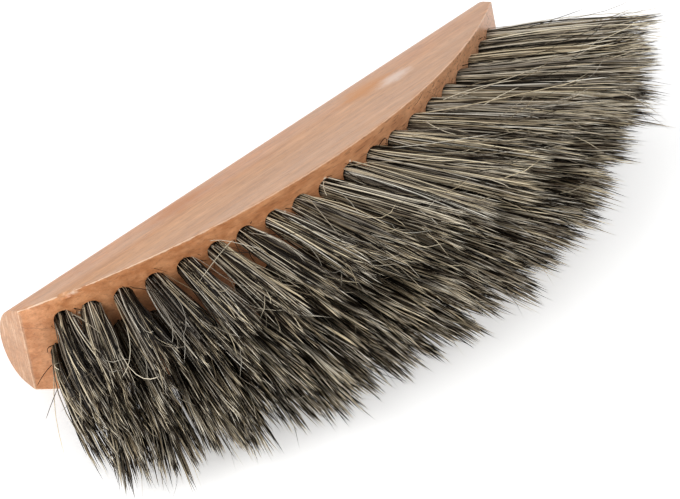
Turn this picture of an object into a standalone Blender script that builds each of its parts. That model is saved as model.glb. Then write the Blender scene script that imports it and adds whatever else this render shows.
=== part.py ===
# Half-moon dusting brush: a wedge-shaped wooden block with three rows of horsehair tufts.
# Metres, +Z up. X runs along the block, -Y is the bristle side, +Y is the rounded back.
# The block is modelled about its own middle plane and is then laid on its lower flank,
# so that its broad bristle side leans up from the table.

import math

import bmesh
import bpy
from mathutils import Matrix, Vector

# Block
BLOCK_LENGTH = 0.1675  # along the straight back, end to end
FACE_RADIUS = 0.131  # curve of the bristle side, seen from above
FRONT_THICKNESS = 0.0431  # across the middle of the bristle side
FLANK_TAPER_DEGREES = 17.6  # how far each flank closes towards the back
END_DEPTH = 0.0097  # the flat ends, from the bristle side to the back
DOME_DEPTH = 0.0067  # rounded part of the back
EDGE_ROUNDING = 0.0006

# Drilled holes
HOLE_DIAMETER = 0.0053
HOLE_DEPTH = 0.012
END_MARGIN = 0.0102  # along the curve, from a block end to the outermost upper hole
MIDDLE_END_MARGIN = 0.0085  # the same for the middle row
MIDDLE_END_DROP = 0.0022  # the outermost middle holes lie lower, clear of the upper ones
ROW_INSET = 0.007  # from a flank's edge to its own row of holes
UPPER_LEAN_DEGREES = 7.0
LOWER_LEAN_DEGREES = 5.5

# Hair
TUFT_CLEARANCE = 0.0003  # between a tuft's root and its hole, all round
UPPER_HAIR = 0.0475  # free length outside the hole
MIDDLE_HAIR = 0.0490
LOWER_HAIR = 0.0445
FAN_GAP = 0.0012  # between the tips of two neighbouring tufts
STRAND_TIP_WIDTH = 0.0004
INNER_SPREAD = 0.5  # every second strand stays nearer the tuft's middle
FAN_CURVE = 1.4  # 1 is a straight cone, more keeps the strands together for longer

# Counts
UPPER_TUFTS = 20
MIDDLE_TUFTS = 21
LOWER_TUFTS = 18
STRANDS = 8  # sides of a tuft's root, with one strand growing from each
HOLE_SIDES = 12
DOME_STEPS = 12
FACE_SIDES = 160  # of the full circle that the bristle side is part of

# What follows from the sizes above
TAPER = math.radians(FLANK_TAPER_DEGREES)
HALF_ANGLE = math.asin(BLOCK_LENGTH / 2 / FACE_RADIUS)
FACE_DEPTH = FACE_RADIUS * (1 - math.cos(HALF_ANGLE))
DOME_START = FACE_DEPTH + END_DEPTH - DOME_DEPTH
HOLE_PITCH = 2 * (FACE_RADIUS * HALF_ANGLE - END_MARGIN) / (UPPER_TUFTS - 1)
MIDDLE_PITCH = 2 * (FACE_RADIUS * HALF_ANGLE - MIDDLE_END_MARGIN) / (MIDDLE_TUFTS - 1)
ROOT_RADIUS = HOLE_DIAMETER / 2 - TUFT_CLEARANCE


def half_thickness(depth):
    return FRONT_THICKNESS / 2 - depth * math.tan(TAPER)


def tuft_place(arc, side, lean, drop):
    # The frame of one hole: origin on the bristle side, +Z out along the hair.
    # The arc is measured along the curve from its middle, and the side is 1 for the
    # upper row, 0 for the middle one and -1 for the lower one.
    angle = arc / FACE_RADIUS
    depth = FACE_RADIUS * (1 - math.cos(angle))
    height = side * (half_thickness(depth) - ROW_INSET) - drop
    to_centre = Matrix.Translation((0, FACE_RADIUS, 0))
    turn = Matrix.Rotation(angle, 4, "Z")
    to_face = Matrix.Translation((0, -FACE_RADIUS, height))
    tilt = Matrix.Rotation(math.radians(90) - side * lean, 4, "X")
    return to_centre @ turn @ to_face @ tilt


def row_places(count, pitch, side, lean, end_drop):
    places = []
    for number in range(count):
        drop = end_drop if number in (0, count - 1) else 0
        places.append(tuft_place((number - (count - 1) / 2) * pitch, side, lean, drop))
    return places


def mouth_rise(lean):
    # How far the outer edge of a leaning hole stands proud of the hole's middle.
    return HOLE_DIAMETER / 2 * math.tan(lean) + TUFT_CLEARANCE / 2


def new_material(name, colour, roughness):
    material = bpy.data.materials.new(name)
    material.use_nodes = True
    shader = material.node_tree.nodes["Principled BSDF"]
    shader.inputs["Base Color"].default_value = (*colour, 1)
    shader.inputs["Roughness"].default_value = roughness
    shader.inputs["Metallic"].default_value = 0
    return material


def new_object(name, mesh, collection, parent, place=None):
    item = bpy.data.objects.new(name, mesh)
    collection.objects.link(item)
    item.parent = parent
    if place is not None:
        item.matrix_local = place
    return item


def as_cutter(item):
    item.hide_render = True
    item.display_type = "WIRE"
    return item


def make_block_outline(collection):
    # The block's cross-section: two straight flanks that close towards a rounded back.
    # The back is the piece of an ellipse that carries on from both flanks without a
    # corner. The outline starts in front of the bristle side, which is cut round later.
    front = -FRONT_THICKNESS / 4
    flank_end = half_thickness(DOME_START)
    share = DOME_DEPTH * math.tan(TAPER) / flank_end
    dome_angle = math.acos(share / (1 - share))
    semi_depth = DOME_DEPTH / (1 - math.cos(dome_angle))
    semi_height = flank_end / math.sin(dome_angle)
    dome_middle = DOME_START + DOME_DEPTH - semi_depth
    outline = [(front, -half_thickness(front))]
    for step in range(DOME_STEPS + 1):
        angle = dome_angle * (2 * step / DOME_STEPS - 1)
        depth = dome_middle + semi_depth * math.cos(angle)
        outline.append((depth, semi_height * math.sin(angle)))
    outline.append((front, half_thickness(front)))

    curve = bpy.data.curves.new("block_outline", "CURVE")
    curve.dimensions = "2D"
    curve.fill_mode = "BOTH"
    curve.extrude = BLOCK_LENGTH / 2
    spline = curve.splines.new("POLY")
    spline.points.add(len(outline) - 1)
    for point, (depth, height) in zip(spline.points, outline):
        point.co = (depth, height, 0, 1)
    spline.use_cyclic_u = True
    outline_object = bpy.data.objects.new("block_outline", curve)
    collection.objects.link(outline_object)

    # The curve's plane becomes depth and height, and its extrusion the length.
    bpy.context.view_layer.update()
    evaluated = outline_object.evaluated_get(bpy.context.evaluated_depsgraph_get())
    mesh = bpy.data.meshes.new_from_object(evaluated)
    bpy.data.objects.remove(outline_object)
    mesh.transform(Matrix(((0, 0, 1, 0), (1, 0, 0, 0), (0, 1, 0, 0), (0, 0, 0, 1))))
    shape = bmesh.new()
    shape.from_mesh(mesh)
    bmesh.ops.remove_doubles(shape, verts=shape.verts, dist=1e-6)
    bmesh.ops.recalc_face_normals(shape, faces=shape.faces)
    shape.to_mesh(mesh)
    shape.free()
    mesh.name = "block"
    return mesh


def make_face_cylinder():
    # A drum whose wall rounds the bristle side.
    mesh = bpy.data.meshes.new("face_drum")
    shape = bmesh.new()
    bmesh.ops.create_cone(
        shape, cap_ends=True, segments=FACE_SIDES, radius1=FACE_RADIUS, radius2=FACE_RADIUS,
        depth=2 * FRONT_THICKNESS, matrix=Matrix.Translation((0, FACE_RADIUS, 0)),
    )
    shape.to_mesh(mesh)
    shape.free()
    return mesh


def make_hole_drills(places):
    # One drill for each hole, closed at its own depth and standing out of the wood.
    mesh = bpy.data.meshes.new("hole_drills")
    shape = bmesh.new()
    stand_out = HOLE_DIAMETER / 2
    for place in places:
        middle = Matrix.Translation((0, 0, (stand_out - HOLE_DEPTH) / 2))
        bmesh.ops.create_cone(
            shape, cap_ends=True, segments=HOLE_SIDES, radius1=HOLE_DIAMETER / 2,
            radius2=HOLE_DIAMETER / 2, depth=HOLE_DEPTH + stand_out, matrix=place @ middle,
        )
    shape.to_mesh(mesh)
    shape.free()
    return mesh


def make_tuft(name, hair_length, lean, pitch):
    # The bound root fills the hole. Outside it each of its sides grows one
    # three-sided strand, which narrows and spreads away from the others.
    rise = mouth_rise(lean)
    bottom = TUFT_CLEARANCE - HOLE_DEPTH
    tip_pitch = pitch * (FACE_RADIUS + hair_length * math.cos(lean)) / FACE_RADIUS
    fan_radius = (tip_pitch - FAN_GAP) / 2
    middle = Matrix.Translation((0, 0, (rise + bottom) / 2))
    shape = bmesh.new()
    bmesh.ops.create_cone(
        shape, cap_ends=True, cap_tris=True, segments=STRANDS, radius1=ROOT_RADIUS,
        radius2=ROOT_RADIUS, depth=rise - bottom,
        matrix=middle @ Matrix.Rotation(math.pi / STRANDS, 4, "Z"),
    )
    shape.normal_update()
    roots = [face for face in shape.faces if face.normal.z > 0.5]
    roots.sort(key=lambda face: math.atan2(*face.calc_center_median().yx))
    for number, face in enumerate(roots):
        centre = face.calc_center_median()
        corners = [vertex.co - centre for vertex in face.verts]
        corner_reach = max(corner.length for corner in corners)
        tip_size = STRAND_TIP_WIDTH / 2 / corner_reach
        root_offset = centre.xy.length
        outward = Vector((centre.x, centre.y, 0)) / root_offset
        spread = 1 if number % 2 == 0 else INNER_SPREAD
        tip_offset = (fan_radius - STRAND_TIP_WIDTH / 2) * spread
        for along in (0.5, 1.0):
            face = bmesh.ops.extrude_discrete_faces(shape, faces=[face])["faces"][0]
            size = 1 + (tip_size - 1) * along
            offset = root_offset + (tip_offset - root_offset) * along ** FAN_CURVE
            height = rise + (hair_length - rise) * along
            for vertex, corner in zip(face.verts, corners):
                vertex.co = outward * offset + Vector((0, 0, height)) + corner * size
    mesh = bpy.data.meshes.new(name)
    shape.to_mesh(mesh)
    shape.free()
    return mesh


def centre_over_footprint(rest, pieces):
    # Moves the whole brush so that the middle of its outline lies over the origin.
    bpy.context.view_layer.update()
    depsgraph = bpy.context.evaluated_depsgraph_get()
    points = []
    for piece in pieces:
        mesh = piece.evaluated_get(depsgraph).data
        points.extend(piece.matrix_world @ vertex.co for vertex in mesh.vertices)
    for axis in (0, 1):
        values = [point[axis] for point in points]
        rest.location[axis] -= (min(values) + max(values)) / 2
    bpy.context.view_layer.update()


def main():
    for item in list(bpy.data.objects):
        bpy.data.objects.remove(item)
    parts = bpy.data.collections.new("dusting_brush")
    cutters = bpy.data.collections.new("cutters")
    bpy.context.scene.collection.children.link(parts)
    bpy.context.scene.collection.children.link(cutters)

    # The brush lies on its lower flank, so its middle plane leans by the taper.
    rest = bpy.data.objects.new("rest", None)
    parts.objects.link(rest)
    rest.rotation_euler.x = -TAPER
    rest.location.z = FRONT_THICKNESS / 2 * math.cos(TAPER)

    wood = new_material("beech", (0.62, 0.37, 0.22), 0.55)
    upper_lean = math.radians(UPPER_LEAN_DEGREES)
    lower_lean = math.radians(LOWER_LEAN_DEGREES)
    rows = [
        ("tuft_upper", UPPER_TUFTS, HOLE_PITCH, 1, upper_lean, 0, UPPER_HAIR, (0.33, 0.28, 0.21)),
        ("tuft_middle", MIDDLE_TUFTS, MIDDLE_PITCH, 0, 0, MIDDLE_END_DROP, MIDDLE_HAIR, (0.16, 0.13, 0.10)),
        ("tuft_lower", LOWER_TUFTS, HOLE_PITCH, -1, lower_lean, 0, LOWER_HAIR, (0.08, 0.065, 0.05)),
    ]

    # Tufts, row by row
    pieces = []
    places = []
    for name, count, pitch, side, lean, end_drop, hair_length, colour in rows:
        hair = new_material(name.replace("tuft", "horsehair"), colour, 0.6)
        mesh = make_tuft(name, hair_length, lean, pitch)
        mesh.materials.append(hair)
        for number, place in enumerate(row_places(count, pitch, side, lean, end_drop), start=1):
            pieces.append(new_object(f"{name}_{number:02d}", mesh, parts, rest, place))
            places.append(place)

    # Block: outline, rounded bristle side, softened edges, holes
    block = new_object("block", make_block_outline(parts), parts, rest)
    block.data.materials.append(wood)
    drum = as_cutter(new_object("face_drum", make_face_cylinder(), cutters, rest))
    drills = as_cutter(new_object("hole_drills", make_hole_drills(places), cutters, rest))
    rounding = block.modifiers.new("bristle_side", "BOOLEAN")
    rounding.operation = "INTERSECT"
    rounding.object = drum
    edges = block.modifiers.new("edges", "BEVEL")
    edges.width = EDGE_ROUNDING
    edges.segments = 2
    edges.limit_method = "ANGLE"
    edges.angle_limit = math.radians(35)
    holes = block.modifiers.new("holes", "BOOLEAN")
    holes.operation = "DIFFERENCE"
    holes.object = drills
    pieces.append(block)

    centre_over_footprint(rest, pieces)


main()
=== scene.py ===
import math

import bpy
import numpy as np
from mathutils import Matrix, Vector, noise


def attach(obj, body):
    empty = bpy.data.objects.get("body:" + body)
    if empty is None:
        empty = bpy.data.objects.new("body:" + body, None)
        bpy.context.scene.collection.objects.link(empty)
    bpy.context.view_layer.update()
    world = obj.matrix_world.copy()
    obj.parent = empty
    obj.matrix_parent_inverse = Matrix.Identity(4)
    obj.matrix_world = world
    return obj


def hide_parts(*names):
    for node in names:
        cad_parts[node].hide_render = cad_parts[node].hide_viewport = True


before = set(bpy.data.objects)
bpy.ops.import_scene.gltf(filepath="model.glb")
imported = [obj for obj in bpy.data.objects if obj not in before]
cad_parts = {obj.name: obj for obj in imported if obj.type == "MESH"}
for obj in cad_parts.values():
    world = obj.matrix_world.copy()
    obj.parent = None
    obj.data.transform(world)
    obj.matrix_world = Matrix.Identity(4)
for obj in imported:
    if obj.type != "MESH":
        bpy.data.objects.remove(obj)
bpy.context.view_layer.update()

print("packed brush loaded:", len(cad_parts), "nodes")

# the block is shaped about its own middle plane, then laid on its lower flank
resting = {
    "tilt": math.radians(17.6),
    "shift": (0, 0.0049625, 0.0205413),
}
seat = Matrix.Translation(resting["shift"]) @ Matrix.Rotation(-resting["tilt"], 4, "X")
nearly = {"place": 2e-5, "slope": 1e-4, "facing": 0.99}  # how closely a face has to fit to be picked


def deselectAll():
    if bpy.context.object and bpy.context.object.mode == "EDIT":
        bpy.ops.object.mode_set(mode="OBJECT")
    bpy.ops.object.select_all(action="DESELECT")


def useOnly(piece):
    deselectAll()
    piece.select_set(True)
    bpy.context.view_layer.objects.active = piece


def startShape(name):  # names the primitive just added and opens it for editing
    shape = bpy.context.object
    shape.name = shape.data.name = name
    bpy.ops.object.mode_set(mode="EDIT")
    bpy.ops.mesh.select_all(action="SELECT")
    return shape


def applyPlace(piece):  # the place goes into the mesh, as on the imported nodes
    useOnly(piece)
    bpy.ops.object.transform_apply(location=True, rotation=True, scale=True)


def selectFaces(piece, wanted):
    bpy.ops.mesh.select_mode(type="FACE")
    bpy.ops.mesh.select_all(action="DESELECT")
    bpy.ops.object.mode_set(mode="OBJECT")
    for face in piece.data.polygons:
        face.select = wanted(face.center, face.normal)
    bpy.ops.object.mode_set(mode="EDIT")


def cutAway(point, outward):  # saws off what lies beyond the plane and closes the cut
    bpy.ops.mesh.select_all(action="SELECT")
    bpy.ops.mesh.bisect(plane_co=point, plane_no=outward, use_fill=True, clear_outer=True)


def scoreLine(point, outward):  # only adds edges along the plane
    bpy.ops.mesh.select_all(action="SELECT")
    bpy.ops.mesh.bisect(plane_co=point, plane_no=outward)


# Wooden block

block = {
    "length": 0.1675,
    "faceRadius": 0.131,
    "frontThickness": 0.0431,
    "endDepth": 0.0097,
    "domeDepth": 0.0067,
    "domeSides": 192,
    "drumSides": 1440,
    "drumDepth": 0.07,
    "frontSpare": 0.002,
    "edgeBand": 0.0014,
    "edgeRounding": 0.0006,
    "edgeSegments": 3,
    "roundedFrom": math.radians(40),
    "smoothUnder": math.radians(28),
    "wearWidth": 0.00084,
    "wearAcross": 0.6,
    "wearDown": 0.8,
    "edgeWander": 0.00022,
    "wanderScale": 260,
    "wanderGap": 7,
    "chipPeak": 0.25,
    "chipFull": 0.4,
    "chips": [
        {"start": -0.0755, "length": 0.0048, "depth": 0.00130},
        {"start": -0.0713, "length": 0.0030, "depth": 0.00045},
        {"start": -0.0826, "length": 0.0018, "depth": 0.00035},
        {"start": 0.0130, "length": 0.0028, "depth": 0.00025},
    ],
}
tiltTan = math.tan(resting["tilt"])
halfLength = block["length"] / 2
faceDepth = block["faceRadius"] - math.sqrt(block["faceRadius"] ** 2 - halfLength ** 2)


def halfThickness(depth):
    return block["frontThickness"] / 2 - depth * tiltTan


def domeCurve():  # the ellipse that carries on from both flanks
    domeStart = faceDepth + block["endDepth"] - block["domeDepth"]
    flankEnd = halfThickness(domeStart)
    share = block["domeDepth"] * tiltTan / flankEnd
    domeAngle = math.acos(share / (1 - share))
    semiDepth = block["domeDepth"] / (1 - math.cos(domeAngle))
    semiHeight = flankEnd / math.sin(domeAngle)
    return domeAngle, semiDepth, semiHeight, domeStart + block["domeDepth"] - semiDepth


def edgeGap(spot):  # distance from the worn edge between bristle side and upper or lower flank
    fromFace = block["faceRadius"] - math.hypot(spot.x, spot.y - block["faceRadius"])
    fromFlank = (halfThickness(spot.y) - abs(spot.z)) * math.cos(resting["tilt"])
    return max(fromFace, fromFlank)


def wearEdges(piece):
    bpy.ops.object.mode_set(mode="OBJECT")
    drumMiddle = Vector((0, block["faceRadius"], 0))
    for vertex in piece.data.vertices:
        gap = edgeGap(vertex.co)
        if gap > block["wearWidth"]:
            continue
        near = 1 - gap / block["wearWidth"]
        ownPart = math.copysign(block["wanderGap"], vertex.co.z)  # the two edges wander differently
        along = Vector((vertex.co.x * block["wanderScale"], ownPart, 0))
        depth = noise.noise(along) * block["edgeWander"] * near
        if vertex.co.z > 0:
            for chip in block["chips"]:  # torn out steeply on one side, running out on the other
                across = (vertex.co.x - chip["start"]) / chip["length"]
                if 0 < across < 1:
                    torn = min(across / block["chipPeak"], (1 - across) / (1 - block["chipPeak"]))
                    depth += chip["depth"] * torn * min(near / block["chipFull"], 1)
        inward = (drumMiddle - vertex.co).normalized() * block["wearAcross"]
        inward.z = -math.copysign(block["wearDown"], vertex.co.z)
        vertex.co += inward * depth


def tuftPlace(arc, side, lean, drop):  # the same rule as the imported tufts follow
    angle = arc / block["faceRadius"]
    depth = block["faceRadius"] * (1 - math.cos(angle))
    height = side * (halfThickness(depth) - tufts["rowInset"]) - drop
    toCentre = Matrix.Translation((0, block["faceRadius"], 0))
    toFace = Matrix.Translation((0, -block["faceRadius"], height))
    tilt = Matrix.Rotation(math.radians(90) - side * lean, 4, "X")
    return toCentre @ Matrix.Rotation(angle, 4, "Z") @ toFace @ tilt


tufts = {
    "rowInset": 0.007,
    "endMargin": 0.0102,
    "middleEndMargin": 0.0085,
    "middleEndDrop": 0.0022,
    "holeRadius": 0.00265,
    "holeDepth": 0.012,
    "holeSides": 28,
    "drillStandOut": 0.003,
    "mouthWidening": 0.0001,
    "mouthRings": (-0.0003, 0.0012),
    "unroundness": 0.035,
    "unroundScale": 700,
    "unroundStep": 3.7,
    "unroundRowStep": 90,
    "handDrilled": {  # upper holes that sit a little beside and below their place, along and down
        1: (0.0008, 0.0001), 2: (-0.00045, 0.00055), 3: (-0.00033, 0.0006),
        4: (-0.0004, 0.0005), 5: (-0.00015, 0.0003),
    },
}

# each row runs from -1 to 1: light is its share of pale hair, set lower in the middle and lower rows
# partly as painted shade, and the next key is how that share changes along the row, painted light that
# pales the hair where more light falls, fan is how far the hair opens, uneven how much its length varies
# and curled how much of it curls, worn shortens the hair from wornFrom on, endTrim and drift shorten the
# two ends and lean them inwards, ownLength makes single tufts longer or shorter, and a pair of keys paints
# shade on the hair from its root up to a given share of its length
rows = [
    {"name": "Upper", "node": "tuft_upper", "count": 20, "side": 1, "lean": 7.0,
     "length": 0.0480, "hairs": 230, "light": 0.56, "paintedLightDrift": 0.17, "fan": 1.62, "uneven": 0.13,
     "curled": 0.20, "paleTip": 0.06, "drift": (0.5, 0.9), "endTrim": (0.05, 0.05),
     "wornFrom": 0.6, "worn": 0.04, "ownLength": {}, "rootShadeTo": 0.14, "rootShade": 0.14},
    {"name": "Middle", "node": "tuft_middle", "count": 21, "side": 0, "lean": 0.0,
     "length": 0.0495, "hairs": 240, "light": 0.45, "paintedLightDrift": 0.0, "fan": 2.3, "uneven": 0.07,
     "curled": 0.06, "paleTip": 0.06, "drift": (1.1, 1.1), "endTrim": (0.11, 0.03),
     "wornFrom": 0.35, "worn": 0.10, "ownLength": {}, "rootShadeTo": 0.60, "rootShade": 0.65},
    {"name": "Lower", "node": "tuft_lower", "count": 18, "side": -1, "lean": 5.5,
     "length": 0.0480, "hairs": 240, "light": 0.46, "paintedLightDrift": -0.06, "fan": 2.7, "uneven": 0.05,
     "curled": 0.05, "paleTip": 0.0, "drift": (0.0, 0.0), "endTrim": (0.03, 0.0),
     "wornFrom": -1.0, "worn": 0.18, "rootShadeTo": 0.60, "rootShade": 0.65,
     "ownLength": {6: 0.0030, 7: -0.0015, 11: -0.0022, 12: 0.0020, 13: 0.0020}},
]
halfArc = block["faceRadius"] * math.asin(halfLength / block["faceRadius"])
holePitch = 2 * (halfArc - tufts["endMargin"]) / (rows[0]["count"] - 1)
middlePitch = 2 * (halfArc - tufts["middleEndMargin"]) / (rows[1]["count"] - 1)


def rowPlaces(row):
    isMiddle = row["side"] == 0
    pitch = middlePitch if isMiddle else holePitch
    last = row["count"] - 1
    places = []
    for number in range(row["count"]):
        beside, drop = tufts["handDrilled"].get(number + 1, (0, 0)) if row["side"] > 0 else (0, 0)
        if isMiddle and number in (0, last):
            drop = tufts["middleEndDrop"]
        arc = (number - last / 2) * pitch + beside
        places.append(tuftPlace(arc, row["side"], math.radians(row["lean"]), drop))
    return places


def makeDrill():  # a bit with a slightly wider mouth, used once for each hole
    deselectAll()
    standOut = tufts["drillStandOut"]
    bpy.ops.mesh.primitive_cylinder_add(
        vertices=tufts["holeSides"], radius=tufts["holeRadius"], depth=tufts["holeDepth"] + standOut,
        location=(0, 0, (standOut - tufts["holeDepth"]) / 2))
    drill = startShape("drill")
    for height in tufts["mouthRings"]:
        scoreLine((0, 0, height), (0, 0, 1))
    bpy.ops.object.mode_set(mode="OBJECT")
    widen = 1 + tufts["mouthWidening"] / tufts["holeRadius"]
    for vertex in drill.data.vertices:
        if vertex.co.z + drill.location.z > 0:
            vertex.co.x *= widen
            vertex.co.y *= widen
    applyPlace(drill)
    return drill


def drillHoles(piece):
    drill = makeDrill()
    bits = []
    for row in rows:
        for number, place in enumerate(rowPlaces(row)):
            bit = drill.copy()
            bit.data = drill.data.copy()
            bpy.context.scene.collection.objects.link(bit)
            ownPart = number * tufts["unroundStep"] + row["side"] * tufts["unroundRowStep"]
            for vertex in bit.data.vertices:  # no mouth is quite round, and no two are alike
                if vertex.co.z > -tufts["holeDepth"] / 2:
                    spot = vertex.co * tufts["unroundScale"]
                    spot.z = ownPart
                    vertex.co *= 1 + tufts["unroundness"] * noise.noise(spot)
            bit.data.transform(place)
            bits.append(bit)
    bpy.data.objects.remove(drill)
    useOnly(bits[0])
    for bit in bits:
        bit.select_set(True)
    bpy.ops.object.join()
    cutter = bpy.context.object
    useOnly(piece)
    holes = piece.modifiers.new("holes", "BOOLEAN")
    holes.operation = "DIFFERENCE"
    holes.object = cutter
    bpy.ops.object.modifier_apply(modifier="holes")
    bpy.data.objects.remove(cutter)


def makeWedge():  # a round rail, sawn flat and drawn out forwards between the two flanks
    domeAngle, semiDepth, semiHeight, domeMiddle = domeCurve()
    domeStart = domeMiddle + semiDepth * math.cos(domeAngle)
    deselectAll()
    bpy.ops.mesh.primitive_cylinder_add(
        vertices=block["domeSides"], radius=1, depth=block["length"],
        location=(0, domeMiddle, 0), rotation=(0, math.radians(90), 0),
        scale=(semiHeight, semiDepth, 1))
    wedge = bpy.context.object
    wedge.name = wedge.data.name = "woodBlock"
    applyPlace(wedge)
    bpy.ops.object.mode_set(mode="EDIT")
    cutAway((0, domeStart, 0), (0, -1, 0))
    selectFaces(wedge, lambda spot, normal: normal.y < -nearly["facing"])
    drawnOut = domeStart + block["frontSpare"]
    bpy.ops.mesh.extrude_region_move(TRANSFORM_OT_translate={"value": (0, -drawnOut, 0)})
    spread = halfThickness(-block["frontSpare"]) / halfThickness(domeStart)
    bpy.ops.transform.resize(value=(1, 1, spread))
    bpy.ops.object.mode_set(mode="OBJECT")
    return wedge


def onFlank(spot, normal):
    lean = math.cos(resting["tilt"])
    gap = (halfThickness(spot.y) - abs(spot.z)) * lean
    return abs(gap) < nearly["place"] and abs(abs(normal.z) - lean) < nearly["slope"]


def makeBlock():
    piece = makeWedge()
    deselectAll()
    bpy.ops.mesh.primitive_cylinder_add(
        vertices=block["drumSides"], radius=block["faceRadius"], depth=block["drumDepth"],
        location=(0, block["faceRadius"], 0))
    drum = bpy.context.object
    applyPlace(drum)
    useOnly(piece)
    turned = piece.modifiers.new("turned", "BOOLEAN")
    turned.operation = "INTERSECT"
    turned.object = drum
    bpy.ops.object.modifier_apply(modifier="turned")
    bpy.data.objects.remove(drum)

    # narrow bands beside the edges keep the flats flat when the edges are rounded
    bpy.ops.object.mode_set(mode="EDIT")
    band = block["edgeBand"]
    tilt = resting["tilt"]
    selectFaces(piece, onFlank)
    bpy.ops.mesh.inset(thickness=band, use_boundary=True)
    selectFaces(piece, lambda spot, normal: abs(normal.x) > nearly["facing"])
    bpy.ops.mesh.inset(thickness=band, use_boundary=True)
    inner = block["frontThickness"] / 2 - band / math.cos(tilt)
    for face in (-1, 1):
        scoreLine((0, 0, face * inner), (0, math.sin(tilt), face * math.cos(tilt)))
    bpy.ops.object.mode_set(mode="OBJECT")
    useOnly(piece)
    edges = piece.modifiers.new("edges", "BEVEL")
    edges.width = block["edgeRounding"]
    edges.segments = block["edgeSegments"]
    edges.limit_method = "ANGLE"
    edges.angle_limit = block["roundedFrom"]
    bpy.ops.object.modifier_apply(modifier="edges")
    wearEdges(piece)
    drillHoles(piece)
    piece.data.transform(seat)
    useOnly(piece)
    bpy.ops.object.shade_smooth_by_angle(angle=block["smoothUnder"])
    return piece


# Node groups shared by the materials

def newGroup(name, inputs, outputs):
    group = bpy.data.node_groups.new(name, "ShaderNodeTree")
    for label, kind, value in inputs:
        socket = group.interface.new_socket(name=label, in_out="INPUT", socket_type=kind)
        if value is not None:
            socket.default_value = value
    for label, kind in outputs:
        group.interface.new_socket(name=label, in_out="OUTPUT", socket_type=kind)
    entry = group.nodes.new("NodeGroupInput")
    leave = group.nodes.new("NodeGroupOutput")
    return group, entry, leave


def addNode(tree, kind, settings=None, **values):
    node = tree.nodes.new(kind)
    for name, value in (settings or {}).items():
        setattr(node, name, value)
    for name, value in values.items():
        node.inputs[name].default_value = value
    return node


def mathNode(tree, operation, first, second=None, third=None):
    node = tree.nodes.new("ShaderNodeMath")
    node.operation = operation
    for slot, value in enumerate((first, second, third)):
        if value is None:
            continue
        if isinstance(value, (int, float)):
            node.inputs[slot].default_value = value
        else:
            tree.links.new(value, node.inputs[slot])
    return node.outputs[0]


def rangeNode(tree, value, low, high, toLow=0.0, toHigh=1.0):
    node = tree.nodes.new("ShaderNodeMapRange")
    node.interpolation_type = "SMOOTHSTEP"
    for label, number in (("From Min", low), ("From Max", high), ("To Min", toLow), ("To Max", toHigh)):
        node.inputs[label].default_value = number
    tree.links.new(value, node.inputs["Value"])
    return node.outputs["Result"]


def mixColour(tree, share, first, second, blend="MIX"):
    node = tree.nodes.new("ShaderNodeMix")
    node.data_type = "RGBA"
    node.blend_type = blend
    for slot, value in (("Factor_Float", share), ("A_Color", first), ("B_Color", second)):
        socket = next(s for s in node.inputs if s.identifier == slot)
        if isinstance(value, (int, float)):
            socket.default_value = value
        elif isinstance(value, tuple):
            socket.default_value = (*value, 1)
        else:
            tree.links.new(value, socket)
    return next(s for s in node.outputs if s.identifier == "Result_Color")


def stretchedNoise(tree, vector, stretch, detail=3.0, roughness=0.55, distortion=0.0,
                   offset=(0, 0, 0), turn=(0, 0, 0)):
    mapping = addNode(tree, "ShaderNodeMapping", Scale=stretch, Location=offset, Rotation=turn)
    tree.links.new(vector, mapping.inputs["Vector"])
    texture = addNode(tree, "ShaderNodeTexNoise", Scale=1.0, Detail=detail, Roughness=roughness,
                      Distortion=distortion)
    tree.links.new(mapping.outputs["Vector"], texture.inputs["Vector"])
    return texture.outputs["Fac"]


grainLayers = {  # long streaks, fine fibres, short dark flecks and soft clouds, all lying along X
    "Streaks": {"stretch": (9, 190, 190), "detail": 3, "roughness": 0.6, "distortion": 0.25},
    "Fibres": {"stretch": (75, 1000, 1000), "detail": 3, "roughness": 0.7},
    "Flecks": {"stretch": (330, 2100, 2100), "detail": 1.5, "roughness": 0.5, "offset": (3, 5, 1)},
    "Clouds": {"stretch": (34, 75, 75), "detail": 4, "roughness": 0.6, "offset": (7, 2, 9)},
}
grainRanges = {"Streaks": (0.32, 0.68), "Flecks": (0.57, 0.69), "Clouds": (0.35, 0.65)}
patchShape = {"mottleScale": (1.6, 1.6, 1.6), "mottle": 1.1, "softEdge": (1.6, 0.7)}


def makeGrainGroup():
    group, entry, leave = newGroup(
        "woodGrain",
        [("Vector", "NodeSocketVector", None)],
        [(layer, "NodeSocketFloat") for layer in grainLayers])
    for layer, settings in grainLayers.items():
        value = stretchedNoise(group, entry.outputs["Vector"], **settings)
        if layer in grainRanges:
            value = rangeNode(group, value, *grainRanges[layer])
        group.links.new(value, leave.inputs[layer])
    return group


def makePatchGroup():  # a mottled patch with a soft edge
    group, entry, leave = newGroup(
        "softPatch",
        [("Vector", "NodeSocketVector", None), ("Centre", "NodeSocketVector", (0, 0, 0)),
         ("Reach", "NodeSocketVector", (0.01, 0.01, 0.01))],
        [("Mask", "NodeSocketFloat")])
    away = addNode(group, "ShaderNodeVectorMath", {"operation": "SUBTRACT"})
    group.links.new(entry.outputs["Vector"], away.inputs[0])
    group.links.new(entry.outputs["Centre"], away.inputs[1])
    scaled = addNode(group, "ShaderNodeVectorMath", {"operation": "DIVIDE"})
    group.links.new(away.outputs["Vector"], scaled.inputs[0])
    group.links.new(entry.outputs["Reach"], scaled.inputs[1])
    distance = addNode(group, "ShaderNodeVectorMath", {"operation": "LENGTH"})
    group.links.new(scaled.outputs["Vector"], distance.inputs[0])
    mottle = stretchedNoise(group, scaled.outputs["Vector"], patchShape["mottleScale"], roughness=0.65)
    reached = mathNode(group, "MULTIPLY_ADD", mottle, patchShape["mottle"], distance.outputs["Value"])
    group.links.new(rangeNode(group, reached, *patchShape["softEdge"]), leave.inputs["Mask"])
    return group


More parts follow.
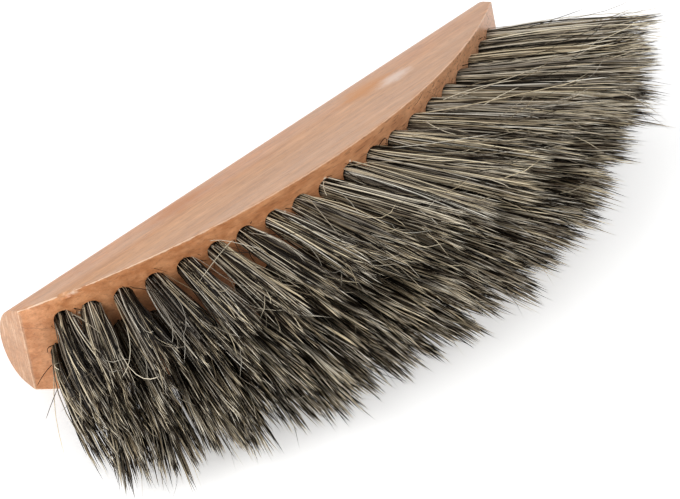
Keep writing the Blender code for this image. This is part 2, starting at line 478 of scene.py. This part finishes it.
woodColours = {
    "pale": (0.555, 0.297, 0.157),
    "pink": (0.48, 0.238, 0.110),
    "orange": (0.53, 0.215, 0.082),
    "amber": (0.54, 0.205, 0.035),
    "rust": (0.46, 0.150, 0.015),
    "fleck": (0.24, 0.105, 0.05),
    "worn": (0.80, 0.58, 0.41),
    "raw": (0.90, 0.74, 0.58),
    "bristleSide": (0.49, 0.192, 0.074),
    "sidePale": (0.59, 0.275, 0.127),
    "sideFar": (0.74, 0.41, 0.24),
    "endGrain": (0.40, 0.254, 0.168),
    # painted shade for the bristle side between the rows of tufts
    "tuftShade": (0.20, 0.075, 0.032),
    # painted highlight, a pale sheen on the upper flank
    "paintedHighlight": (0.74, 0.60, 0.52),
    # painted shade inside the holes
    "holes": (0.14, 0.06, 0.03),
}
wood = {  # pairs say where a look begins and ends, fours add its strength at both
    "onFace": (0.0008, 0.0002),
    "onEnd": (0.0007, 0.0002),
    "holeShade": (0.0007, 0.0025),
    "offEdge": (0.0010, 0.0020),
    "offBack": (0.0352, 0.0345),
    "backOrange": (0.018, 0.032),
    "backBase": 0.25,
    "backStrength": 0.50,
    "mottleScale": (150, 380, 380),
    "mottleRange": (0.34, 0.66),
    "mottleStrength": 0.50,
    "farSide": (-0.03, 0.075, 0.0, 0.6),
    "tuftShadeInside": (0.0075, 0.0125, 0.0, 0.5),
    "tuftShadeAlong": (-0.074, -0.066),
    "faceStrength": 0.95,
    "sandingTurn": (math.radians(28), 0, 0),
    "sandingScale": (60, 2300, 150),
    "sandingRange": (0.50, 0.66),
    "sandingStrength": 0.38,
    "endStrength": 0.45,
    "facePores": (-0.03, 0.05, 0.06, 0.60),
    "flankPores": 0.26,
    "fibreStrength": 0.66,
    "fibreBase": 0.42,
    "wearScale": (420, 420, 420),
    "wearFade": (0.0, 0.0002),
    "wearGap": 0.0001,
    "frontWearWidth": 0.00092,
    "frontWear": (-0.055, -0.025, 0.85, 0.50),
    "endWearWidth": 0.0007,
    "endWear": 0.45,
    "roughness": 0.30,
    "fibreRoughness": 0.14,
    "shine": 0.45,
    "bumpStrength": 0.20,
    "bumpHeight": 0.0002,
    "fleckDepth": 0.8,
}
crack = {
    "height": 0.0071,
    "slope": -0.36,
    "stop": -0.0768,
    "runOut": 0.002,
    "waver": 0.0012,
    "waverScale": (600, 600, 0),
    "width": (0.00020, 0.00003),
    "strength": 0.55,
}
marks = [  # places on the block before it is laid down
    {"colour": "amber", "strength": 0.95,
     "centre": (0.0345, 0.0272, 0.0129), "reach": (0.0120, 0.0056, 0.01)},
    {"colour": "rust", "strength": 0.85,
     "centre": (-0.0279, 0.0303, 0.0119), "reach": (0.0145, 0.0060, 0.01)},
    # painted highlight on the upper flank
    {"colour": "paintedHighlight", "strength": 0.65,
     "centre": (0.0420, 0.0229, 0.0143), "reach": (0.0075, 0.0040, 0.01)},
    {"colour": "raw", "strength": 0.75,
     "centre": (-0.0737, 0.0213, 0.0140), "reach": (0.0040, 0.0018, 0.0008)},
    {"colour": "raw", "strength": 0.8,
     "centre": (-0.0822, 0.0284, 0.0124), "reach": (0.0014, 0.0009, 0.0009)},
    {"colour": "raw", "strength": 1.0,
     "centre": (-0.0716, 0.0212, 0.0079), "reach": (0.0007, 0.0007, 0.0006)},
    {"colour": "raw", "strength": 1.0,
     "centre": (-0.0178, 0.0012, 0.0146), "reach": (0.0006, 0.0006, 0.0006)},
    {"colour": "raw", "strength": 1.0,
     "centre": (-0.0042, 0.0001, 0.0174), "reach": (0.0007, 0.0006, 0.0005)},
    {"colour": "raw", "strength": 1.0,
     "centre": (0.0047, 0.0001, 0.0176), "reach": (0.0005, 0.0006, 0.0005)},
]


def insideDistances(tree, x, y, z):  # how deep each point lies under the bristle side, flanks and ends
    fromAxis = mathNode(tree, "SUBTRACT", y, block["faceRadius"])
    reach = mathNode(tree, "MULTIPLY_ADD", fromAxis, fromAxis, mathNode(tree, "MULTIPLY", x, x))
    insideFace = mathNode(tree, "SUBTRACT", block["faceRadius"], mathNode(tree, "SQRT", reach))
    flankHeight = mathNode(tree, "MULTIPLY_ADD", y, -tiltTan, block["frontThickness"] / 2)
    insideFlank = mathNode(tree, "SUBTRACT", flankHeight, mathNode(tree, "ABSOLUTE", z))
    insideEnd = mathNode(tree, "SUBTRACT", halfLength, mathNode(tree, "ABSOLUTE", x))
    return insideFace, insideFlank, insideEnd


def paintBristleSide(tree, mottle, x, insideFlank):  # paler towards one end, with painted shade between the tufts
    side = mixColour(tree, rangeNode(tree, mottle, *wood["mottleRange"]),
                     woodColours["bristleSide"], woodColours["sidePale"])
    side = mixColour(tree, rangeNode(tree, x, *wood["farSide"]), side, woodColours["sideFar"])
    # painted shade, darker towards the middle of the bristle side between the rows of tufts, fading out at
    # the left end
    fromEdge = rangeNode(tree, insideFlank, *wood["tuftShadeInside"])
    shadedBetweenTufts = mathNode(tree, "MULTIPLY", fromEdge, rangeNode(tree, x, *wood["tuftShadeAlong"]))
    return mixColour(tree, shadedBetweenTufts, side, woodColours["tuftShade"])


def crackMask(tree, spot, x, z):  # fine drying crack from the end to the first hole
    atMiddle = crack["height"] + halfLength * crack["slope"]
    crackLine = mathNode(tree, "MULTIPLY_ADD", x, crack["slope"], atMiddle)
    waver = stretchedNoise(tree, spot, crack["waverScale"], detail=2, roughness=0.6)
    waver = mathNode(tree, "MULTIPLY_ADD", waver, crack["waver"], -crack["waver"] / 2)
    crackLine = mathNode(tree, "ADD", crackLine, waver)
    gap = mathNode(tree, "ABSOLUTE", mathNode(tree, "SUBTRACT", z, crackLine))
    beforeHole = rangeNode(tree, x, crack["stop"], crack["stop"] - crack["runOut"])
    cracked = mathNode(tree, "MULTIPLY", rangeNode(tree, gap, *crack["width"]), beforeHole)
    return mathNode(tree, "MULTIPLY", cracked, crack["strength"])


def paintMarks(tree, spot, colour):
    softPatch = makePatchGroup()
    for mark in marks:
        patch = tree.nodes.new("ShaderNodeGroup")
        patch.node_tree = softPatch
        patch.inputs["Centre"].default_value = mark["centre"]
        patch.inputs["Reach"].default_value = mark["reach"]
        tree.links.new(spot, patch.inputs["Vector"])
        strength = mathNode(tree, "MULTIPLY", patch.outputs["Mask"], mark["strength"])
        colour = mixColour(tree, strength, colour, woodColours[mark["colour"]])
    return colour


def makeWood(name):
    material = bpy.data.materials.new(name)
    material.use_nodes = True
    tree = material.node_tree
    shader = tree.nodes["Principled BSDF"]
    place = addNode(tree, "ShaderNodeTexCoord")
    shift = Matrix.Rotation(resting["tilt"], 3, "X") @ Vector(resting["shift"])
    level = addNode(tree, "ShaderNodeMapping", Rotation=(resting["tilt"], 0, 0), Location=tuple(-shift))
    tree.links.new(place.outputs["Object"], level.inputs["Vector"])
    spot = level.outputs["Vector"]
    grain = tree.nodes.new("ShaderNodeGroup")
    grain.node_tree = makeGrainGroup()
    tree.links.new(spot, grain.inputs["Vector"])
    axes = tree.nodes.new("ShaderNodeSeparateXYZ")
    tree.links.new(spot, axes.inputs["Vector"])
    x, y, z = (axes.outputs[label] for label in "XYZ")
    insideFace, insideFlank, insideEnd = insideDistances(tree, x, y, z)
    onFace = rangeNode(tree, insideFace, *wood["onFace"])
    onEnd = rangeNode(tree, insideEnd, *wood["onEnd"])
    # painted shade inside the holes, kept off the edges and the back
    holeShade = rangeNode(tree, insideFace, *wood["holeShade"])
    for inside, limits in ((insideFlank, "offEdge"), (insideEnd, "offEdge"), (y, "offBack")):
        holeShade = mathNode(tree, "MULTIPLY", holeShade, rangeNode(tree, inside, *wood[limits]))

    # flanks: pale with long streaks, more orange towards the rounded back
    colour = mixColour(tree, grain.outputs["Streaks"], woodColours["pink"], woodColours["pale"])
    clouds = mathNode(tree, "ADD", grain.outputs["Clouds"], wood["backBase"])
    patch = mathNode(tree, "MULTIPLY", rangeNode(tree, y, *wood["backOrange"]), clouds)
    patch = mathNode(tree, "MULTIPLY", patch, wood["backStrength"])
    colour = mixColour(tree, patch, colour, woodColours["orange"])
    mottle = stretchedNoise(tree, spot, wood["mottleScale"], detail=4, roughness=0.68, offset=(4, 8, 6))
    side = paintBristleSide(tree, mottle, x, insideFlank)
    colour = mixColour(tree, mathNode(tree, "MULTIPLY", onFace, wood["faceStrength"]), colour, side)

    # ends: duller, with slanting marks of the sandpaper
    dulled = mathNode(tree, "MULTIPLY", onEnd, wood["endStrength"])
    colour = mixColour(tree, dulled, colour, woodColours["endGrain"])
    scratch = stretchedNoise(tree, spot, wood["sandingScale"], detail=2, roughness=0.6,
                             turn=wood["sandingTurn"])
    scratch = mathNode(tree, "MULTIPLY", rangeNode(tree, scratch, *wood["sandingRange"]), onEnd)
    scratch = mathNode(tree, "MULTIPLY", scratch, wood["sandingStrength"])
    colour = mixColour(tree, scratch, colour, woodColours["worn"])

    # the curve cuts across more pores towards one end
    pores = mathNode(tree, "MULTIPLY", onFace, rangeNode(tree, x, *wood["facePores"]))
    pores = mathNode(tree, "ADD", pores, wood["flankPores"])
    fleckShare = mathNode(tree, "MULTIPLY", grain.outputs["Flecks"], pores)
    colour = mixColour(tree, fleckShare, colour, woodColours["fleck"])
    fibres = grain.outputs["Fibres"]
    fibre = mathNode(tree, "MULTIPLY_ADD", fibres, wood["fibreStrength"], wood["fibreBase"])
    fibre = mathNode(tree, "MULTIPLY_ADD", mottle, wood["mottleStrength"], fibre)
    fibreTint = tree.nodes.new("ShaderNodeCombineXYZ")
    for label in "XYZ":
        tree.links.new(fibre, fibreTint.inputs[label])
    colour = mixColour(tree, 1.0, colour, fibreTint.outputs["Vector"], "MULTIPLY")
    cracked = mathNode(tree, "MULTIPLY", crackMask(tree, spot, x, z), onFace)
    colour = mixColour(tree, cracked, colour, woodColours["fleck"])

    # pale line where handling has rubbed the edges
    rough = stretchedNoise(tree, spot, wood["wearScale"], detail=3, roughness=0.7)
    frontEdge = mathNode(tree, "MAXIMUM", insideFace, insideFlank)
    endEdge = mathNode(tree, "MAXIMUM", insideFace, insideEnd)
    frontWear = rangeNode(tree, x, *wood["frontWear"])
    for edge, width, strength in ((frontEdge, wood["frontWearWidth"], frontWear),
                                  (endEdge, wood["endWearWidth"], wood["endWear"])):
        wearWidth = mathNode(tree, "MULTIPLY_ADD", rough, width, -wood["wearGap"])
        worn = rangeNode(tree, mathNode(tree, "SUBTRACT", wearWidth, edge), *wood["wearFade"])
        colour = mixColour(tree, mathNode(tree, "MULTIPLY", worn, strength), colour, woodColours["worn"])
    colour = paintMarks(tree, spot, colour)
    # painted shade inside the holes
    colour = mixColour(tree, holeShade, colour, woodColours["holes"])
    tree.links.new(colour, shader.inputs["Base Color"])

    roughness = mathNode(tree, "MULTIPLY_ADD", fibres, wood["fibreRoughness"], wood["roughness"])
    tree.links.new(roughness, shader.inputs["Roughness"])
    shader.inputs["Specular IOR Level"].default_value = wood["shine"]
    bump = addNode(tree, "ShaderNodeBump", Strength=wood["bumpStrength"], Distance=wood["bumpHeight"])
    sunken = mathNode(tree, "MULTIPLY", grain.outputs["Flecks"], wood["fleckDepth"])
    height = mathNode(tree, "SUBTRACT", fibres, sunken)
    tree.links.new(height, bump.inputs["Height"])
    tree.links.new(bump.outputs["Normal"], shader.inputs["Normal"])
    return material


# Horsehair

hair = {
    "rings": (0.0, 0.10, 0.26, 0.44, 0.62, 0.78, 0.90, 1.0),
    "taper": (1.0, 1.0, 0.98, 0.95, 0.90, 0.83, 0.70, 0.0),
    "radius": (0.00012, 0.00023),
    "rootRadius": 0.00258,
    "sunk": 0.003,
    "opening": 1.3,
    "rowSpread": 1.5,
    "fanScatter": (0.9, 1.1),
    "strands": 90,
    "strandRoot": 0.00016,
    "strandTip": 0.00045,
    "ownTone": 0.80,
    "toneRings": 3,
    "toneStep": 0.618,
    "locks": 6,
    "lockReach": (0.05, 1.1),
    "lockTone": 0.14,
    "lockPull": (0.10, 0.60),
    "lockLength": 0.045,
    "middleLength": 0.95,
    "lengthLimits": (0.6, 1.08),
    "wornRun": 0.5,
    "trimPower": 4,
    "tipScatter": 0.0007,
    "tuftScatter": 0.0007,
    "bend": 0.0005,
    "curl": 0.0040,
    "curlPower": 5,
    "curlWidth": 0.6,
    "strays": 7,
    "strayTip": 0.0046,
    "strayBend": 0.0016,
    "strayWidth": 0.62,
    "strayLength": (0.6, 1.0),
    "stubs": 2,
    "stubRoot": 1.02,
    "stubTip": (1.3, 2.2),
    "stubWidth": 0.6,
    "stubLength": (0.03, 0.09),
    "stubTone": (0, 0.3),
    "endDrift": 0.0055,
    "driftPower": 7,
    "driftBow": (1.9, 1.1),
    "darkest": 0.41,
    "lightest": 0.57,
}
millimetre = 0.001
looseHairs = [  # single hairs that stand out, in millimetres across, above and along their tuft
    {"row": "Upper", "tuft": 6, "start": (3.3, 2.9, 3.7), "end": (-12.6, 3.2, 18.1),
     "bow": (1.3, 0, -1.7), "tone": 0.92},
    {"row": "Upper", "tuft": 3, "start": (-3.8, 3.0, 21), "end": (-11.3, 3.6, 50),
     "bow": (1.0, 0, 3.0), "tone": 0.95},
    {"row": "Upper", "tuft": 3, "start": (-8.5, 3.3, 34), "end": (-2.6, 3.7, 55),
     "bow": (-1.8, 0, 7.0), "tone": 0.95},
    {"row": "Upper", "tuft": 1, "start": (2.8, 1.0, 0.9), "end": (6.4, 1.0, 10.4),
     "bow": (0, 0, -1.4), "tone": 0.85},
    {"row": "Middle", "tuft": 1, "start": (-2.9, 1.0, 6.6), "end": (-7.5, 1.0, 14.8),
     "bow": (-0.2, 0, -0.4), "tone": 0.42},
    {"row": "Middle", "tuft": 1, "start": (-2.6, -2.0, 12.9), "end": (-6.9, -2.0, 25.7),
     "bow": (0, 0, -0.3), "tone": 0.50},
    {"row": "Middle", "tuft": 1, "start": (-0.8, 2.5, 0.3), "end": (-3.2, 2.5, 3.4),
     "bow": (-0.9, 0, -1.0), "tone": 0.20},
    {"row": "Middle", "tuft": 1, "start": (-0.3, 3.5, 10.3), "end": (-0.1, 3.5, 14.6),
     "bow": (-2.0, 0, -1.3), "tone": 0.95},
    {"row": "Upper", "tuft": 6, "start": (-1.1, 3.1, 14), "end": (1.9, 3.3, 24),
     "bow": (-0.3, 0, 0.9), "tone": 0.90},
    {"row": "Upper", "tuft": 10, "start": (-1.1, 2.9, 1.3), "end": (-6.0, 2.9, 8.3),
     "bow": (0, 0, -0.7), "tone": 0.95},
    {"row": "Upper", "tuft": 9, "start": (0.2, 2.9, 3.8), "end": (-11.5, 3.9, 37),
     "bow": (-0.9, 0, 3.0), "tone": 0.82},
    {"row": "Upper", "tuft": 14, "start": (-2.1, 2.9, 5.9), "end": (-7.2, 3.2, 19.4),
     "bow": (-1.0, 0, 1.0), "tone": 0.92},
    {"row": "Upper", "tuft": 12, "start": (0.8, 2.6, 1.9), "end": (2.4, 2.6, 3.2),
     "bow": (3.3, 0, -1.9), "tone": 0.20},
    {"row": "Upper", "tuft": 14, "start": (7.9, 3.0, 5.1), "end": (19.2, 3.5, 21.9),
     "bow": (1.5, 0, -1.0), "tone": 0.88},
    {"row": "Upper", "tuft": 13, "start": (15.8, 3.3, 18.3), "end": (25.6, 3.5, 22.9),
     "bow": (0, 0, -0.5), "tone": 0.88},
]


def makeHairPattern():  # one three-sided hair of unit width and length
    deselectAll()
    bpy.ops.mesh.primitive_circle_add(vertices=3, radius=1, fill_type="NGON", location=(0, 0, 0))
    pattern = startShape("hairPattern")
    bpy.ops.mesh.select_mode(type="FACE")
    bpy.ops.mesh.select_all(action="SELECT")
    width = 1.0
    for low, high, nextWidth in zip(hair["rings"], hair["rings"][1:], hair["taper"][1:]):
        bpy.ops.mesh.extrude_region_move(TRANSFORM_OT_translate={"value": (0, 0, high - low)})
        if nextWidth > 0:
            bpy.ops.transform.resize(value=(nextWidth / width, nextWidth / width, 1))
            width = nextWidth
    bpy.ops.mesh.merge(type="CENTER")
    bpy.ops.mesh.select_all(action="SELECT")
    bpy.ops.mesh.normals_make_consistent(inside=False)
    bpy.ops.object.mode_set(mode="OBJECT")
    spots = np.array([vertex.co for vertex in pattern.data.vertices])
    faces = [list(face.vertices) for face in pattern.data.polygons]
    bpy.data.objects.remove(pattern)
    return spots, faces


def spotsInDisc(chance, count, reach, lowest=0.0, highest=1.0):
    angle = chance.uniform(0, 2 * math.pi, count)
    radius = reach * np.sqrt(chance.uniform(lowest, highest, count))
    return np.stack([radius * np.cos(angle), radius * np.sin(angle)], 1)


def spreadBetween(row, spots):  # hair opens further into the free space between the rows
    towards = spots[:, 1] * row["side"] <= 0
    spots[towards, 1] *= hair["rowSpread"]
    return spots


def makeStrands(row, position, chance):  # a few hairs each, which share their way, length and tone
    count = hair["strands"]
    root = spotsInDisc(chance, count, hair["rootRadius"])
    opened = spreadBetween(row, root * row["fan"] * chance.uniform(*hair["fanScatter"]))
    lockSpot = spotsInDisc(chance, hair["locks"], hair["rootRadius"] * row["fan"], *hair["lockReach"])
    lockSpot = spreadBetween(row, lockSpot)
    lockTone = chance.uniform(-hair["lockTone"], hair["lockTone"], hair["locks"])
    lockLength = 1 + chance.normal(0, hair["lockLength"], hair["locks"])
    nearest = ((opened[:, None] - lockSpot[None]) ** 2).sum(2).argmin(1)
    pull = chance.uniform(*hair["lockPull"], count)[:, None]
    tip = opened * (1 - pull) + lockSpot[nearest] * pull
    tip += chance.normal(0, hair["tipScatter"], (count, 2))
    tip += chance.normal(0, hair["tuftScatter"], 2)
    wornShare = min(max((position - row["wornFrom"]) / hair["wornRun"], 0), 1)
    endTrim = row["endTrim"][int(position > 0)]
    trim = (1 - endTrim * abs(position) ** hair["trimPower"]) * (1 - row["worn"] * wornShare)
    length = row["length"] * lockLength[nearest] * trim
    bend = chance.normal(0, hair["bend"], (count, 2))
    return root, tip, length, bend, chance.uniform(0, 1, count) + lockTone[nearest]


def thickenHair(line, ahead, thick, turn, spots):  # lays the pattern's ring round each point of the way
    heading = ahead / np.linalg.norm(ahead, axis=2, keepdims=True)
    across = np.cross(heading, np.array([0.0, 1.0, 0.0]))
    across /= np.linalg.norm(across, axis=2, keepdims=True)
    upright = np.cross(heading, across)
    cos = np.cos(turn)[:, None]
    sin = np.sin(turn)[:, None]
    wide = (spots[None, :, 0] * cos - spots[None, :, 1] * sin) * thick[:, None]
    high = (spots[None, :, 0] * sin + spots[None, :, 1] * cos) * thick[:, None]
    return line + across * wide[:, :, None] - upright * high[:, :, None]


def layLoose(row, number, spots):  # the single hairs of one tuft, each a shallow arch
    own = [loose for loose in looseHairs if loose["row"] == row["name"] and loose["tuft"] == number]
    start, end, bow = (np.array([loose[key] for loose in own]).reshape(-1, 1, 3) * millimetre
                       for key in ("start", "end", "bow"))
    along = np.clip(spots[:, 2], 0, 1)[None, :, None]
    line = start + (end - start) * along + bow * 4 * along * (1 - along)
    ahead = (end - start) + bow * 4 * (1 - 2 * along)
    thick = np.full(len(own), hair["radius"][0])
    tone = np.array([loose["tone"] for loose in own])
    return thickenHair(line, ahead, thick, np.zeros(len(own)), spots), tone


def shadeHairs(row, position, chance, root, strandTone):  # neighbours differ in tone
    ring = np.floor(hair["toneRings"] * (np.linalg.norm(root, axis=1) / hair["rootRadius"]) ** 2)
    around = np.lexsort((np.arctan2(root[:, 1], root[:, 0]), ring)).argsort()
    own = (around * hair["toneStep"] + chance.uniform(0, 1)) % 1
    shade = strandTone * (1 - hair["ownTone"]) + own * hair["ownTone"]
    order = shade.argsort().argsort() / (len(root) - 1)
    # the pale share's drift along the row is painted light and shade, paler hair where more light falls
    parting = 1 - row["light"] - row["paintedLightDrift"] * position
    paler = hair["lightest"] + (1 - hair["lightest"]) * (order - parting) / (1 - parting)
    return np.where(order > parting, paler, hair["darkest"] * order / parting)


def bendHairs(row, position, root, tip, bend, curl, length, share):  # each hair's way and its direction
    along = np.clip(share, 0, 1)[None, :, None]
    opening, power = hair["opening"], hair["curlPower"]
    line = np.empty((len(root), len(share), 3))
    line[:, :, :2] = (root[:, None] + (tip - root)[:, None] * along ** opening
                      + bend[:, None] * np.sin(math.pi * along) + curl[:, None] * along ** power)
    line[:, :, 2] = -hair["sunk"] + (length + hair["sunk"])[:, None] * share[None]
    half = int(position > 0)
    drift = hair["endDrift"] * row["drift"][half] * position ** hair["driftPower"]
    line[:, :, 0] -= drift * along[:, :, 0] ** hair["driftBow"][half]
    ahead = np.empty_like(line)
    ahead[:, :, :2] = ((tip - root)[:, None] * opening * along ** (opening - 1)
                       + curl[:, None] * power * along ** (power - 1)
                       + bend[:, None] * math.pi * np.cos(math.pi * along))
    ahead[:, :, 2] = length[:, None]
    return line, ahead


def growHair(row, number, position, chance, pattern):  # one tuft, standing on its hole's own frame
    strandRoot, strandTip, strandLength, strandBend, strandTone = makeStrands(row, position, chance)
    count = row["hairs"]
    strand = chance.randint(0, hair["strands"], count)
    root = strandRoot[strand] + chance.normal(0, hair["strandRoot"], (count, 2))
    tip = strandTip[strand] + chance.normal(0, hair["strandTip"], (count, 2))
    bend = strandBend[strand] + chance.normal(0, hair["bend"] / 2, (count, 2))
    length = strandLength[strand] + row["ownLength"].get(number, 0)
    length *= np.clip(chance.normal(hair["middleLength"], row["uneven"], count), *hair["lengthLimits"])
    curled = chance.uniform(0, 1, count) < row["curled"]
    curl = chance.normal(0, hair["curl"], (count, 2)) * curled[:, None]
    thick = chance.uniform(*hair["radius"], count)
    thick[curled] *= hair["curlWidth"]
    tone = shadeHairs(row, position, chance, root, strandTone[strand])
    warmth = chance.uniform(0, 1, hair["strands"])[strand]

    picked = chance.choice(count, hair["strays"] + hair["stubs"], replace=False)
    stray, stub = picked[:hair["strays"]], picked[hair["strays"]:]
    tip[stray] += chance.normal(0, hair["strayTip"], (len(stray), 2))
    bend[stray] = chance.normal(0, hair["strayBend"], (len(stray), 2))
    thick[stray] *= hair["strayWidth"]
    length[stray] *= chance.uniform(*hair["strayLength"], len(stray))
    root[stub] *= hair["stubRoot"] * hair["rootRadius"] / np.linalg.norm(root[stub], axis=1, keepdims=True)
    tip[stub] = root[stub] * chance.uniform(*hair["stubTip"], (len(stub), 1))
    thick[stub] *= hair["stubWidth"]
    length[stub] *= chance.uniform(*hair["stubLength"], len(stub))
    tone[stub] = chance.uniform(*hair["stubTone"], len(stub))

    spots, faces = pattern
    share = spots[:, 2]
    line, ahead = bendHairs(row, position, root, tip, bend, curl, length, share)
    turn = chance.uniform(0, 2 * math.pi, count)
    line = thickenHair(line, ahead, thick, turn, spots)
    looseLine, looseTone = layLoose(row, number, spots)
    line = np.concatenate([line, looseLine])
    tone = np.concatenate([tone, looseTone])
    warmth = np.concatenate([warmth, np.full(len(looseTone), 0.5)])
    each = len(spots)
    looks = {"hairTone": np.repeat(tone, each), "hairWarmth": np.repeat(warmth, each),
             "hairShare": np.tile(share, len(tone))}
    return line, faces, looks


def makeTuft(name, row, number, position, place, chance, pattern, material):
    line, faces, looks = growHair(row, number, position, chance, pattern)
    count, each = line.shape[:2]
    mesh = bpy.data.meshes.new(name)
    corners = [[corner + strand * each for corner in face] for strand in range(count) for face in faces]
    mesh.from_pydata(line.reshape(-1, 3).tolist(), [], corners)
    for look, values in looks.items():
        layer = mesh.attributes.new(look, "FLOAT", "POINT")
        layer.data.foreach_set("value", values.astype(np.float32))
    mesh.transform(seat @ place)
    for vertex in mesh.vertices:  # hair that reaches the table lies along it
        vertex.co.z = max(vertex.co.z, hair["radius"][0])
    mesh.materials.append(material)
    mesh.shade_smooth()
    piece = bpy.data.objects.new(name, mesh)
    bpy.context.scene.collection.objects.link(piece)
    return piece


hairColours = [
    (0.00, (0.004, 0.003, 0.002)),
    (0.28, (0.015, 0.011, 0.008)),
    (0.48, (0.075, 0.055, 0.040)),
    (0.62, (0.205, 0.167, 0.130)),
    (0.80, (0.460, 0.398, 0.322)),
    (1.00, (0.850, 0.775, 0.660)),
]
hairLook = {
    "patchScale": (260, 260, 260),
    "patchTone": 0.16,
    "paleTipFrom": 0.74,
    "cool": (0.96, 1.0, 1.03),
    "warm": (1.07, 1.0, 0.80),
    # painted shade at the hair roots: where it starts and its colour
    "rootShadeFrom": 0.02,
    "rootShadeColour": (0.030, 0.022, 0.011),
    "roughness": 0.48,
    "shine": 0.08,
}


def makeHorsehair(name, row):
    material = bpy.data.materials.new(name)
    material.use_nodes = True
    tree = material.node_tree
    shader = tree.nodes["Principled BSDF"]
    tone = addNode(tree, "ShaderNodeAttribute", {"attribute_name": "hairTone"})
    share = addNode(tree, "ShaderNodeAttribute", {"attribute_name": "hairShare"})
    place = addNode(tree, "ShaderNodeTexCoord")
    patches = stretchedNoise(tree, place.outputs["Object"], hairLook["patchScale"], detail=2)
    shifted = mathNode(tree, "SUBTRACT", tone.outputs["Fac"], hairLook["patchTone"] / 2)
    shifted = mathNode(tree, "MULTIPLY_ADD", patches, hairLook["patchTone"], shifted)
    paleTip = rangeNode(tree, share.outputs["Fac"], hairLook["paleTipFrom"], 1.0, 0.0, row["paleTip"])
    shifted = mathNode(tree, "ADD", shifted, paleTip)
    ramp = tree.nodes.new("ShaderNodeValToRGB")
    while len(ramp.color_ramp.elements) < len(hairColours):
        ramp.color_ramp.elements.new(0.5)
    for element, (position, colour) in zip(ramp.color_ramp.elements, hairColours):
        element.position = position
        element.color = (*colour, 1)
    tree.links.new(shifted, ramp.inputs["Fac"])
    warmth = addNode(tree, "ShaderNodeAttribute", {"attribute_name": "hairWarmth"})
    tint = mixColour(tree, warmth.outputs["Fac"], hairLook["cool"], hairLook["warm"])
    colour = mixColour(tree, 1.0, ramp.outputs["Color"], tint, "MULTIPLY")
    # painted shade on the hair near its root, deepest in the middle and lower rows under the upper row
    paintedRootShade = rangeNode(tree, share.outputs["Fac"], hairLook["rootShadeFrom"], row["rootShadeTo"], row["rootShade"], 0.0)
    colour = mixColour(tree, paintedRootShade, colour, hairLook["rootShadeColour"])
    tree.links.new(colour, shader.inputs["Base Color"])
    shader.inputs["Roughness"].default_value = hairLook["roughness"]
    shader.inputs["Specular IOR Level"].default_value = hairLook["shine"]
    return material


# Stage, lights and camera

studio = {
    "floorSize": 6.0,
    "floorHeight": -0.00002,
    "floorColour": (0.93, 0.93, 0.93),
    "floorRoughness": 0.9,
    "floorGlow": 0.30,
    "white": (1, 1, 1, 1),
    "skyStrength": 0.70,
    "cameraPlace": (-0.9598, -0.87848, 1.35914),
    "cameraTurn": (44.0128, -2.8691, -44.3315),
    "lens": 391.68,
    "sensorWidth": 36,
    "clip": (0.05, 50),
}
lamps = [
    {"name": "keyPanel", "place": (-0.95, 0.0, 0.80), "size": 0.8, "power": 8.0},
    {"name": "fillPanel", "place": (-0.2, -0.9, 0.8), "size": 0.9, "power": 5.0},
]


def makeStage():
    deselectAll()
    bpy.ops.mesh.primitive_plane_add(size=studio["floorSize"], location=(0, 0, studio["floorHeight"]))
    floor = bpy.context.object
    floor.name = "floor"
    paper = bpy.data.materials.new("palePaper")
    paper.use_nodes = True
    shader = paper.node_tree.nodes["Principled BSDF"]
    shader.inputs["Base Color"].default_value = (*studio["floorColour"], 1)
    shader.inputs["Roughness"].default_value = studio["floorRoughness"]
    shader.inputs["Emission Color"].default_value = studio["white"]
    shader.inputs["Emission Strength"].default_value = studio["floorGlow"]
    floor.data.materials.append(paper)
    world = bpy.data.worlds.new("studio")
    world.use_nodes = True
    sky = world.node_tree.nodes["Background"]
    sky.inputs["Color"].default_value = studio["white"]
    sky.inputs["Strength"].default_value = studio["skyStrength"]
    bpy.context.scene.world = world
    for lamp in lamps:
        light = bpy.data.lights.new(lamp["name"], "AREA")
        light.shape = "DISK"
        light.size = lamp["size"]
        light.energy = lamp["power"]
        holder = bpy.data.objects.new(lamp["name"], light)
        bpy.context.scene.collection.objects.link(holder)
        holder.location = lamp["place"]
        holder.rotation_euler = (-Vector(lamp["place"])).to_track_quat("-Z", "Y").to_euler()


def makeCamera():
    lens = bpy.data.cameras.new("camera")
    lens.lens = studio["lens"]
    lens.sensor_width = studio["sensorWidth"]
    lens.clip_start, lens.clip_end = studio["clip"]
    holder = bpy.data.objects.new("camera", lens)
    bpy.context.scene.collection.objects.link(holder)
    holder.location = studio["cameraPlace"]
    holder.rotation_euler = [math.radians(turn) for turn in studio["cameraTurn"]]
    bpy.context.scene.camera = holder
    bpy.context.scene.view_settings.view_transform = "Standard"


makeCamera()
makeStage()
print("camera and stage ready")

woodBlock = makeBlock()
woodBlock.data.materials.clear()
woodBlock.data.materials.append(makeWood("beechWood"))
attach(woodBlock, "root")
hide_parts("block")
print("block shaped:", len(woodBlock.data.polygons), "faces")

hairPattern = makeHairPattern()
for rowNumber, row in enumerate(rows):
    horsehair = makeHorsehair("horsehair" + row["name"], row)
    for number, place in enumerate(rowPlaces(row), start=1):
        chance = np.random.RandomState(1000 * rowNumber + number)
        position = 2 * (number - 1) / (row["count"] - 1) - 1
        tuft = makeTuft("hair" + row["name"] + f"{number:02d}", row, number, position, place, chance,
                        hairPattern, horsehair)
        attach(tuft, "root")
        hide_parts(f"{row['node']}_{number:02d}")
    print(row["name"].lower(), "row of hair done")
